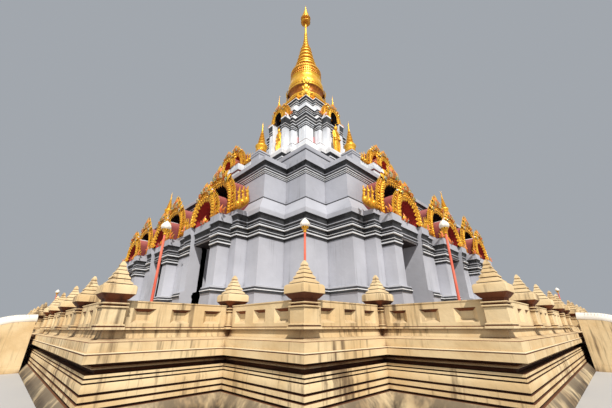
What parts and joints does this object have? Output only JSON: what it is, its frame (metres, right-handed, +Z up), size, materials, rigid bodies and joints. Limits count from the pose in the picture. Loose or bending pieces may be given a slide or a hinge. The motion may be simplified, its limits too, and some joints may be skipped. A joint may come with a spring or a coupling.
{
  "type": "stupa on a walled terrace",
  "caption": "Redented masonry stupa in receding stages with gilded gables over niches, a shrine with standing figures, a bell and a ringed spire, on a walled terrace with stairs.",
  "frame": {"origin": "centre of the plan at ground level", "axes": "+Z up, -Y the front, +X the right side"},
  "size_m": [30.1058, 30.1058, 31.1],
  "materials": {
    "plaster": "weathered cream plaster with dark water stains",
    "grey_render": "grey painted render",
    "white_render": "white painted render",
    "gilding": "gilded, lightly worn",
    "roof_red": "red-brown painted vault",
    "niche_red": "deep red painted recess",
    "paving": "worn floor tiles",
    "post_pink": "salmon gloss paint",
    "lamp_white": "opal lotus bud",
    "serpent_white": "white painted scales"
  },
  "bodies": {
    "root": {"plinth": "plaster", "terrace_front_right": "paving", "terrace_back_right": "paving", "terrace_back_left": "paving", "terrace_front_left": "paving", "parapet_front_right": "plaster", "parapet_back_right": "plaster", "parapet_back_left": "plaster", "parapet_front_left": "plaster", "front_stair": "plaster", "right_stair": "plaster", "back_stair": "plaster", "left_stair": "plaster", "lower_core": "grey_render", "front_niche_wall": "grey_render", "right_niche_wall": "grey_render", "back_niche_wall": "grey_render", "left_niche_wall": "grey_render", "front_canopy_left": "gilding", "right_canopy_left": "gilding", "back_canopy_left": "gilding", "left_canopy_left": "gilding", "front_canopy_middle": "gilding", "right_canopy_middle": "gilding", "back_canopy_middle": "gilding", "left_canopy_middle": "gilding", "front_canopy_right": "gilding", "right_canopy_right": "gilding", "back_canopy_right": "gilding", "left_canopy_right": "gilding", "upper_stage": "grey_render", "middle_block": "white_render", "third_stage": "white_render", "front_porch": "white_render", "right_porch": "white_render", "back_porch": "white_render", "left_porch": "white_render", "shrine_base": "white_render", "shrine_body": "white_render", "front_portal": "white_render", "right_portal": "white_render", "back_portal": "white_render", "left_portal": "white_render", "front_figure": "gilding", "right_figure": "gilding", "back_figure": "gilding", "left_figure": "gilding", "roof_tiers": "white_render", "bell": "gilding", "ringed_spire": "gilding", "umbrella": "gilding"}
  },
  "joints": []
}
